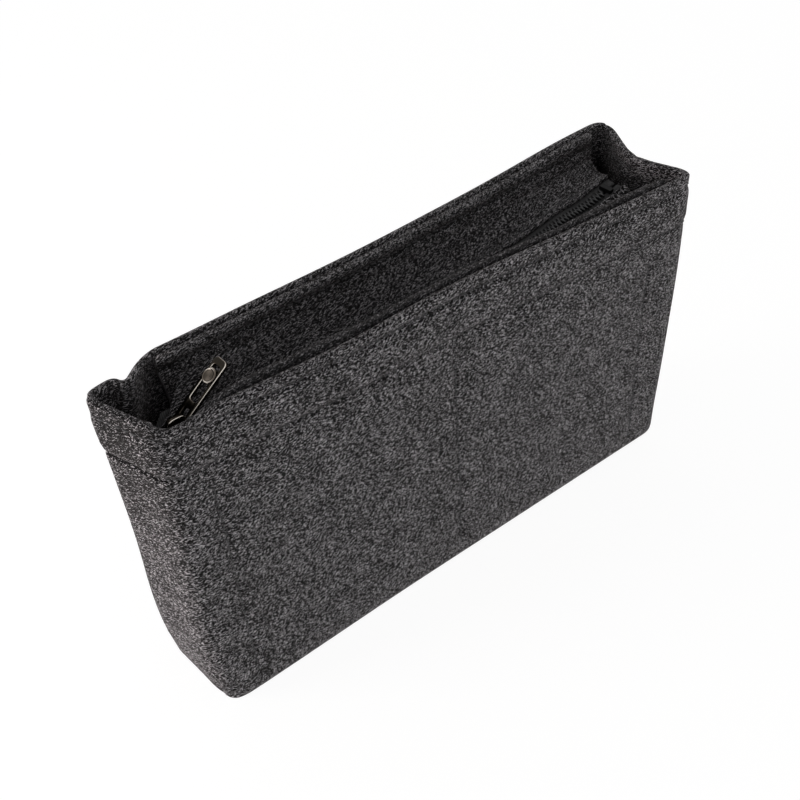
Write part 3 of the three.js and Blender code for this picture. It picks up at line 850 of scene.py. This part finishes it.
zipFlap = {
    "thickness": 2.0,
    "edgeFromChain": 4.5, "start": -3.9, "end": 208.04,
    "seamDepth": 7.1,
    "steps": 110, "edge": 0.75, "paleEdge": 0.5, "runStart": 900,
    "tapeThickness": 0.7, "tapeInner": 0.8, "tapeReach": 5, "tapeGap": 0.3, "tapeStart": -8.9,
    "postSide": 1.5, "postEnd": -3.0,
    "holdFrom": (0.074, 0.0, 0.12), "holdTo": (0.028, 0.0, 0.12),
}
sides = {
    "front": {
        "sign": -1, "columns": frontColumns, "corners": ("leftLip", "rightFold"), "span": layer["frontSpan"],
        "seam": drape["frontFlapRow"], "seamEnds": (-108, 105), "sag": 0.7, "facing": layer["facing"],
    },
    "back": {
        "sign": 1, "columns": backColumns[::-1], "corners": ("rightFold", "leftLip"),
        "span": layer["backSpan"],
        "seam": drape["backFlapRow"], "seamEnds": (-95, 108), "sag": 1.6, "facing": layer["backFacing"],
    },
}


def wallSeam(side, x):
    ring = wallRing(side["seam"], zipFlap["seamDepth"], 0.0)[side["columns"]]
    return np.interp(x, ring[:, 0], ring[:, 1])


# underside of a flap: share 0 is the free edge, 1 the seam on the wall
def flapUnderside(side, along, share):
    span = side["seamEnds"]
    along, share = np.broadcast_arrays(np.asarray(along, float), np.asarray(share, float))
    x = zipFlap["start"] + (zipFlap["end"] - zipFlap["start"]) * along
    free = chainPoint(x, side["sign"] * zipFlap["edgeFromChain"], zipFlap["tapeGap"])
    seamX = span[0] + (span[1] - span[0]) * along
    seamZ = np.full_like(seamX, side["seam"] - zipFlap["thickness"])
    seam = np.stack([seamX, wallSeam(side, seamX), seamZ], axis=-1)
    points = free + (seam - free) * share[..., None]
    hang = np.sin(math.pi * np.clip(share, 0, 1)) * (1 + 0.5 * np.sin(along * 19 + side["sign"]))
    points[..., 2] -= side["sag"] * hang
    return points


def flapWidth(side, along):
    return np.linalg.norm(flapUnderside(side, along, 1.0) - flapUnderside(side, along, 0.0), axis=-1)


def flapPiece(name, side):
    along = np.linspace(0, 1, zipFlap["steps"] + 1)
    width = flapWidth(side, along)
    edge, thick = zipFlap["edge"], zipFlap["thickness"]
    profile = [(share, 0.0, 0.0) for share in (1, 0.9, 0.8, 0.7, 0.6, 0.5, 0.4, 0.3, 0.2)]
    quarter = np.linspace(0, math.pi / 2, 5)
    profile += [(0, edge * (1 - math.sin(a)), edge * (1 - math.cos(a))) for a in quarter]
    lower, upper = [], []
    for share, inset, height in profile:
        base = flapUnderside(side, along, share + inset / width)
        lower.append(base + [0, 0, height])
        upper.append(base + [0, 0, thick - height])
    sections = sheetSections(lower, upper)
    length = along[:, None] * (zipFlap["end"] - zipFlap["start"])
    run = runGrid(length, sections[len(along) // 2], zipFlap["runStart"])
    # paler along the free cut edge
    toneMarks = np.array([zipFlap["paleEdge"] if share == 0 else 0.0 for share, _, _ in profile])
    paintedLightAndTone = np.broadcast_to(np.concatenate([toneMarks * 0.4, toneMarks[::-1]])[None, :], run.shape[:2])
    finishZip(loft(name + "_zip_flap_felt", sections, felt, run, paintedLightAndTone), name, "zip_flap")


def finishZip(piece, name, part):
    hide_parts(name + "_" + part)
    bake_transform(piece)


def tapePiece(name, side):
    x = np.concatenate([[zipFlap["tapeStart"], zipFlap["postEnd"] - 1, zipFlap["postEnd"] - 0.2],
                        np.linspace(zipFlap["postEnd"] + 0.4, zipFlap["end"], 90)])
    along = (x - zipFlap["start"]) / (zipFlap["end"] - zipFlap["start"])
    free = flapUnderside(side, along, 0.0)
    seam = flapUnderside(side, along, 1.0)
    reach = zipFlap["tapeReach"] / np.abs(seam[:, 1] - free[:, 1])
    inner = np.where(x <= zipFlap["postEnd"], zipFlap["postSide"], zipFlap["tapeInner"])
    flat = chainPoint(x, side["sign"] * inner, 0.0)
    rows = [flat]
    for share in (0.25, 0.5, 0.75):
        rows.append(flat + (free - [0, 0, zipFlap["tapeGap"]] - flat) * share)
    for share in (0.0, 0.35, 0.7, 1.0):
        rows.append(flapUnderside(side, along, reach * share) - [0, 0, zipFlap["tapeGap"]])
    top = np.array(rows)
    low = top - [0, 0, zipFlap["tapeThickness"]]
    sections = sheetSections(top, low)
    across = np.linspace(0, 9, len(rows))
    rise = np.concatenate([across, 24 - across[::-1]])
    run = np.stack(np.broadcast_arrays(x[:, None], rise[None, :]), axis=-1)
    finishZip(loft(name + "_zip_tape_weave", sections, wovenTape, run), name, "zip_tape")


# coil: a flattened nylon spiral on each tape, the two sides half a pitch apart
coil = {
    "start": -2.2, "end": 200.9, "pitch": 1.8,
    "middle": 0.65, "reach": 1.36, "height": 0.86, "lift": 0.6, "wire": 0.38,
    "stepsPerTurn": 14, "wireSides": 7,
}


def coilPiece(name, side):
    turns = (coil["end"] - coil["start"] - coil["pitch"]) / coil["pitch"]
    t = np.linspace(0, turns, int(turns * coil["stepsPerTurn"]))
    angle = 2 * math.pi * t
    sign = side["sign"]
    x = coil["start"] + coil["pitch"] * (0.5 + t + sign / 4)
    y = sign * (coil["middle"] - coil["reach"] * np.cos(angle))
    z = coil["height"] + coil["lift"] * np.sin(angle)
    path = chainPoint(x, y, z)
    head = 1 + 0.22 * bell((np.cos(angle) - 1), 0.25)  # the heads that lock are pressed wider
    sections = tubeSections(path, chainAhead[None, :], coil["wire"] * head, coil["wireSides"])
    faces = tubeFaces(*sections.shape[:2])
    piece = addObject(name + "_zip_coil_spiral", sections.reshape(-1, 3), faces, nylonCoil)
    finishZip(piece, name, "zip_coil")


# rows of separate stitches that dip into the felt at both ends

stitch = {
    "pitch": 3.4, "length": 2.7, "radius": 0.3, "arch": 0.32, "sink": 0.45,
    "steps": 8, "sides": 6, "ends": 3,  # columns left free at the ends of a row
    "tapeSpan": (0.03, 0.97), "tapeSteps": 200, "tapeInset": 2.2,
}


def pointsAt(places, length, path):
    return np.stack([np.interp(places, length, path[:, k]) for k in range(3)], axis=1)


def stitchMesh(name, paths):
    points, faces = [], []
    for path, outward in paths:
        gaps = np.linalg.norm(np.diff(path, axis=0), axis=1)
        length = np.concatenate([[0], np.cumsum(gaps)])
        for place in np.arange(stitch["pitch"] / 2, length[-1] - stitch["pitch"] / 2, stitch["pitch"]):
            share = np.linspace(-0.5, 0.5, stitch["steps"] + 1)
            at = place + share * stitch["length"]
            line = pointsAt(at, length, path)
            out = unit(pointsAt(at, length, outward))
            lift = stitch["arch"] - (stitch["arch"] + stitch["sink"]) * np.abs(share * 2) ** 3
            line = line + out * lift[:, None]
            radius = stitch["radius"] * (1 - 0.25 * np.abs(share * 2) ** 4)
            sections = tubeSections(line, out, radius, stitch["sides"])
            faces.extend(tubeFaces(*sections.shape[:2], len(points)))
            points.extend(sections.reshape(-1, 3).tolist())
    return addObject(name, points, faces, thread)


def outwardAt(z):
    inward = plainRing(z)[1]
    return np.column_stack([-inward, np.zeros(columnCount)])


def wallStitchPiece(node, side, z, facing=None):
    columns = columnRun(*side["corners"])[stitch["ends"]:-stitch["ends"]]
    paths = [(wallRing(z, 0.0)[columns], outwardAt(z)[columns])]
    if facing:  # the same row comes through on the facing
        within = columnsWithin(side["columns"], side["span"], z)[1:-1]
        depth = facing["depth"] + facing["thickness"] - facing["pinch"]
        paths.append((wallRing(z, depth)[within], -outwardAt(z)[within]))
    settle(stitchMesh(node + "_thread", paths), node, "pouch")


def pocketStitchPiece(node, x):
    heights = np.arange(drape["pocketFoot"] + 4, drape["pocketTop"], 1.0)
    column = frontColumns[np.argmin(np.abs(middle[frontColumns, 0] - x))]
    path = np.array([wallRing(float(z), 0.0)[column] for z in heights])
    outward = np.array([outwardAt(float(z))[column] for z in heights])
    settle(stitchMesh(node + "_thread", [(path, outward)]), node, "pouch")


def tapeStitchPiece(name, side):
    along = np.linspace(*stitch["tapeSpan"], stitch["tapeSteps"])
    inset = stitch["tapeInset"] / flapWidth(side, along)
    path = flapUnderside(side, along, inset) + [0, 0, zipFlap["thickness"]]
    piece = stitchMesh(name + "_tape_stitch_thread", [(path, np.broadcast_to(chainUp, path.shape))])
    finishZip(piece, name, "tape_stitch")


for sideName, side in sides.items():
    flapPiece(sideName, side)
    tapePiece(sideName, side)
    coilPiece(sideName, side)
    wallStitchPiece(sideName + "_rim_stitch", side, drape["rimRow"], side["facing"])
    wallStitchPiece(sideName + "_flap_stitch", side, side["seam"])
    tapeStitchPiece(sideName, side)
for rowName, x in zip(("left", "centre", "right"), drape["pocketRows"]):
    pocketStitchPiece("pocket_" + rowName + "_stitch", x)
print("zip and stitching made")


# metal parts, drawn flat and given bevelled edges

def roundedOutline(x0, x1, y0, y1, radius, steps=6):
    points = []
    for cx, cy, turn in ((x1 - radius, y0 + radius, -90), (x1 - radius, y1 - radius, 0),
                         (x0 + radius, y1 - radius, 90), (x0 + radius, y0 + radius, 180)):
        for angle in np.radians(np.linspace(turn, turn + 90, steps + 1)):
            points.append((cx + radius * math.cos(angle), cy + radius * math.sin(angle)))
    return points


# flat plate with holes and a bevel all round, as a mesh in millimetres about z 0
def bevelledPlate(name, outlines, thickness, bevel):
    curve = bpy.data.curves.new(name, "CURVE")
    curve.dimensions = "2D"
    curve.fill_mode = "BOTH"
    curve.extrude = thickness / 2 - bevel
    curve.bevel_depth = bevel
    curve.bevel_resolution = 2
    curve.offset = -bevel
    for points in outlines:
        spline = curve.splines.new("POLY")
        spline.points.add(len(points) - 1)
        for point, (x, y) in zip(spline.points, points):
            point.co = (x, y, 0, 1)
        spline.use_cyclic_u = True
    holder = bpy.data.objects.new(name, curve)
    scene.collection.objects.link(holder)
    graph = bpy.context.evaluated_depsgraph_get()
    mesh = bpy.data.meshes.new_from_object(holder.evaluated_get(graph))
    bpy.data.objects.remove(holder)
    bpy.data.curves.remove(curve)
    return mesh


def frameMatrix(origin, ahead, side, up):
    matrix = Matrix.Identity(4)
    for column, axis in enumerate((ahead, side, up, origin)):
        for row in range(3):
            matrix[row][column] = axis[row]
    return matrix


# painted highlights: the flats stay dark, and the bevels and sides that look to the front are painted bright,
# as a painted reflection of the bright front
bright = {
    "bevel": (0.25, 1.1), "upright": (0.15, 0.35),  # least, and more where it looks to the front
    "endShare": 0.5,
    "eyeEnd": 6.5, "eyeHalf": 2, "eyeShare": 0.2,  # edges round the eye get a weaker painted highlight
}


def bevelHighlights(mesh):
    heights = np.array([abs(v.co.z) for v in mesh.vertices])
    facing = np.array([max(0.0, -v.normal.y, v.normal.x * bright["endShare"]) for v in mesh.vertices])
    levels = np.unique(heights.round(4))
    marks = np.minimum(bright["bevel"][0] + bright["bevel"][1] * facing, 1)
    marks[np.isclose(heights, levels[-1], atol=1e-3)] = 0.0
    upright = heights < levels[0] + 1e-3
    marks[upright] = bright["upright"][0] + bright["upright"][1] * facing[upright]
    byEye = np.array([v.co.x < bright["eyeEnd"] and abs(v.co.y) < bright["eyeHalf"] for v in mesh.vertices])
    return np.where(byEye, marks * bright["eyeShare"], marks)


def joinMeshes(name, meshes, placed, material, angle=35):
    points, faces, marks = [], [], []
    for mesh, shift in meshes:
        first = len(points)
        points.extend(tuple(placed @ (shift @ v.co)) for v in mesh.vertices)
        faces.extend(tuple(first + i for i in face.vertices) for face in mesh.polygons)
        # painted highlights on the bevels
        marks.extend(bevelHighlights(mesh))
    piece = addObject(name, points, faces, material, paintedLightAndTone=marks, smooth=False)
    seam = piece.modifiers.new("weld", "WELD")
    seam.merge_threshold = 0.00001
    piece.data.shade_smooth()
    piece.data.set_sharp_from_angle(angle=math.radians(angle))
    return piece


slider = {
    "length": 12, "wide": 8.2, "narrow": 6.6, "plate": 0.85, "corner": 1.6, "bevel": 0.3,
    "upperFoot": 2.45, "lowerTop": -1.25,
    "flange": 0.8, "flangeFoot": 0.4,
    "postStart": -5.0, "postLength": 2.0, "postWidth": 1.4, "postCorner": 0.6, "postBevel": 0.1,
    "flangeInset": 0.02, "flangeBevel": 0.15, "flangeSteps": 9,
    "sunk": 0.5,  # how far walls reach into the plates
}


# the plates and side walls draw in toward the end where the chain is closed
def taper(x):
    half = slider["length"] / 2
    return 1 + (slider["narrow"] / slider["wide"] - 1) * float(smoothStep(-half * 0.2, half, x))


def sliderPiece():
    placed = frameMatrix(chainOrigin, chainAhead, chainSide, chainUp)
    half, wide, halfPost = slider["length"] / 2, slider["wide"] / 2, slider["postWidth"] / 2
    parts = []

    def addPart(name, points, foot, top, bevel):
        plate = bevelledPlate(name, [points], top - foot, bevel)
        parts.append((plate, Matrix.Translation((0, 0, (foot + top) / 2))))

    tapered = [(x, y * taper(x)) for x, y in roundedOutline(-half, half, -wide, wide, slider["corner"])]
    upperFoot, lowerTop = slider["upperFoot"], slider["lowerTop"]
    for foot in (upperFoot, lowerTop - slider["plate"]):
        addPart("plate", tapered, foot, foot + slider["plate"], slider["bevel"])
    start, sunk = slider["postStart"], slider["sunk"]
    post = roundedOutline(start, start + slider["postLength"], -halfPost, halfPost, slider["postCorner"])
    addPart("post", post, lowerTop - sunk, upperFoot + sunk, slider["postBevel"])
    along = np.linspace(-half + slider["corner"], half - slider["corner"], slider["flangeSteps"])
    outer = wide - slider["flangeInset"]
    for side in (-1, 1):
        wall = [(x, side * outer * taper(x)) for x in along]
        wall += [(x, side * (outer * taper(x) - slider["flange"])) for x in reversed(along)]
        addPart("flange", wall, slider["flangeFoot"], upperFoot + sunk, slider["flangeBevel"])
    settle(joinMeshes("slider_body_metal", parts, placed, nickel), "slider_body", "slider")


bail = {"span": 8, "rise": 4.4, "width": 2.0, "thickness": 0.8, "foot": 3.6, "round": 0.26}


# strip of even thickness bent over the slider
def bailPiece():
    half = bail["span"] / 2 - bail["thickness"] / 2
    top = bail["foot"] + bail["rise"] - bail["thickness"] / 2
    turn = np.linspace(0, math.pi, 25)
    path = np.stack([-half * np.sign(np.cos(turn)) * np.abs(np.cos(turn)) ** 0.6,
                     bail["foot"] + (top - bail["foot"]) * np.sin(turn) ** 0.6], axis=1)
    ahead = unit(np.gradient(path, axis=0))
    out = np.stack([-ahead[:, 1], ahead[:, 0]], axis=1)
    wide, thick = bail["width"] / 2, bail["thickness"] / 2
    shape = roundedOutline(-wide, wide, -thick, thick, bail["round"], 3)
    points, marks = [], []
    for place, normal in zip(path, out):
        for index, (y, h) in enumerate(shape):
            local = place + normal * h
            points.append(chainOrigin + chainAhead * local[0] + chainSide * y + chainUp * local[1])
            # painted highlight along two edges of the strip
            marks.append(1.0 if index % 4 in (1, 2) else 0.15)
    faces = tubeFaces(len(path), len(shape))
    piece = addObject("slider_bail_metal", points, faces, nickel, paintedLightAndTone=marks)
    piece.data.set_sharp_from_angle(angle=math.radians(60))
    settle(piece, "slider_bail", "slider")


pull = {
    "angle": 38, "length": 24.4, "width": 6.6, "thickness": 1.5, "heel": 1.2, "corner": 1.9, "bevel": 0.3,
    "eye": (1.2, 5.0, 2.8, 0.7), "window": (7.8, 21.8, 4.0, 0.95),  # start, end, width, corner
    "studAt": 17.6, "studRadius": 2.9, "studHeight": 0.7, "studSteps": 40,
}
lean = math.radians(pull["angle"])
pullAhead = chainAhead * math.cos(lean) + chainUp * math.sin(lean)
pullUp = chainUp * math.cos(lean) - chainAhead * math.sin(lean)


def pullPiece():
    half = pull["width"] / 2
    outlines = [roundedOutline(-pull["heel"], pull["length"], -half, half, pull["corner"], 8)]
    for start, end, width, corner in (pull["eye"], pull["window"]):
        outlines.append(roundedOutline(start, end, -width / 2, width / 2, corner, 5))
    tab = bevelledPlate("tab", outlines, pull["thickness"], pull["bevel"])
    placed = frameMatrix(pivot, pullAhead, chainSide, pullUp)
    piece = joinMeshes("pull_tab_metal", [(tab, Matrix.Identity(4))], placed, nickel)
    settle(piece, "pull_tab", "pull")


# stud through the window: a rimmed head on each side
def studPiece():
    seat = pull["thickness"] / 2 + 0.05
    crown = seat + pull["studHeight"]
    radius = pull["studRadius"]
    shank = pull["window"][2] / 2 - 0.3
    side = [  # radius, height, how bright its painted highlight is
        (0.0, crown - 0.22, 0.35), (radius * 0.6, crown - 0.22, 0.35), (radius * 0.72, crown - 0.2, 0.15),
        (radius * 0.76, crown - 0.05, 0.5), (radius * 0.82, crown, 0.7), (radius * 0.9, crown - 0.02, 0.45),
        (radius * 0.97, crown - 0.14, 0.6), (radius, crown - 0.36, 0.3), (radius, seat + 0.12, 0.2),
        (radius - 0.1, seat, 0), (shank, seat, 0),
    ]
    profile = side + [(r, -h, mark) for r, h, mark in reversed(side)]

    def onPull(r, angle, h):
        ahead, across = pull["studAt"] + r * math.cos(angle), r * math.sin(angle)
        return pivot + pullAhead * ahead + chainSide * across + pullUp * h

    points = [onPull(0.0, 0.0, profile[0][1])]
    marks = [profile[0][2]]
    steps = pull["studSteps"]
    for r, h, mark in profile[1:-1]:
        for angle in np.arange(steps) * 2 * math.pi / steps:
            points.append(onPull(r, angle, h))
            # the painted highlight varies round each ring
            marks.append(mark * (1 + 0.35 * math.sin(angle * 2 + 0.6)))
    points.append(onPull(0.0, 0.0, profile[-1][1]))
    marks.append(profile[-1][2])
    rings = len(profile) - 2
    faces = [(0, 1 + p, 1 + (p + 1) % steps) for p in range(steps)]
    for near in range(1, 1 + (rings - 1) * steps, steps):
        for p in range(steps):
            q = (p + 1) % steps
            faces.append((near + p, near + steps + p, near + steps + q, near + q))
    last = 1 + rings * steps
    faces += [(last, last - steps + (p + 1) % steps, last - steps + p) for p in range(steps)]
    piece = addObject("pull_stud_metal", points, faces, nickel, paintedLightAndTone=marks)
    piece.data.set_sharp_from_angle(angle=math.radians(50))
    settle(piece, "pull_stud", "pull")


sliderPiece()
bailPiece()
pullPiece()
studPiece()
stops = {"front_top_stop": nickel, "back_top_stop": nickel, "bottom_stop": blackStop}
for stopName, stopFinish in stops.items():
    stopMaterials = frame["nodes"][stopName].data.materials
    stopMaterials.clear()
    stopMaterials.append(stopFinish)
print("metal parts made")


# floor, light and background

studio = {
    "floorSize": 6.0, "floorDrop": 0.0002,
    "floorColour": (0.86, 0.86, 0.86, 1), "tableGlow": 0.53,
    "shownGlow": 0.92, "shownColour": (0.2, 0.2, 0.2, 1),  # the floor as the camera sees it
    "world": 0.34,
    "lamps": {
        "key": {"place": (-1.05, 0.40, 0.08), "aim": (-0.1, 0, 0.04), "size": 0.5, "power": 12.0,
                "tint": (1.0, 0.92, 0.90)},
        "fill": {"place": (-0.10, -1.45, 0.40), "aim": (0, 0, 0.07), "size": 0.9, "power": 0.2,
                 "tint": (1.0, 1.0, 1.0)},
    },
}
pureWhite = (1, 1, 1, 1)


# one shader lights the scene, and another is what the camera sees
def splitShader(tree, outputKind, lighting, shown):
    path = addNode(tree, "LightPath")
    seen = maths(tree, "MAXIMUM", path.outputs["Is Camera Ray"], path.outputs["Is Glossy Ray"])
    seen = maths(tree, "MAXIMUM", seen, path.outputs["Is Transmission Ray"])
    mixed = addNode(tree, "MixShader", i0=seen, i1=lighting.outputs[0], i2=shown.outputs[0])
    addNode(tree, outputKind, Surface=mixed.outputs[0])


def glowingDiffuse(tree, colour, strength):
    matt = addNode(tree, "BsdfDiffuse", Color=colour)
    glow = addNode(tree, "Emission", Color=pureWhite, Strength=strength)
    return addNode(tree, "AddShader", i0=matt.outputs[0], i1=glow.outputs[0])


def buildStudio():
    material = bpy.data.materials.new("paleFloor")
    tree = clearTree(material)
    lighting = glowingDiffuse(tree, studio["floorColour"], studio["tableGlow"])
    shown = glowingDiffuse(tree, studio["shownColour"], studio["shownGlow"])
    splitShader(tree, "OutputMaterial", lighting, shown)
    size = studio["floorSize"] / 2 / mm
    corners = [(-size, -size, 0), (size, -size, 0), (size, size, 0), (-size, size, 0)]
    floor = addObject("floor", corners, [(0, 1, 2, 3)], material, smooth=False)
    floor.location.z = -studio["floorDrop"]

    scene.world = bpy.data.worlds.new("studio")
    tree = clearTree(scene.world)
    light, white = (addNode(tree, "Background", Color=pureWhite, Strength=strength)
                    for strength in (studio["world"], 1.0))
    splitShader(tree, "OutputWorld", light, white)

    for name, lamp in studio["lamps"].items():
        data = bpy.data.lights.new(name, "AREA")
        data.size = lamp["size"]
        data.energy = lamp["power"]
        data.color = lamp["tint"]
        obj = bpy.data.objects.new(name, data)
        obj.location = lamp["place"]
        obj.rotation_euler = (Vector(lamp["aim"]) - Vector(lamp["place"])).to_track_quat("-Z", "Y").to_euler()
        scene.collection.objects.link(obj)


buildStudio()
print("studio lit")
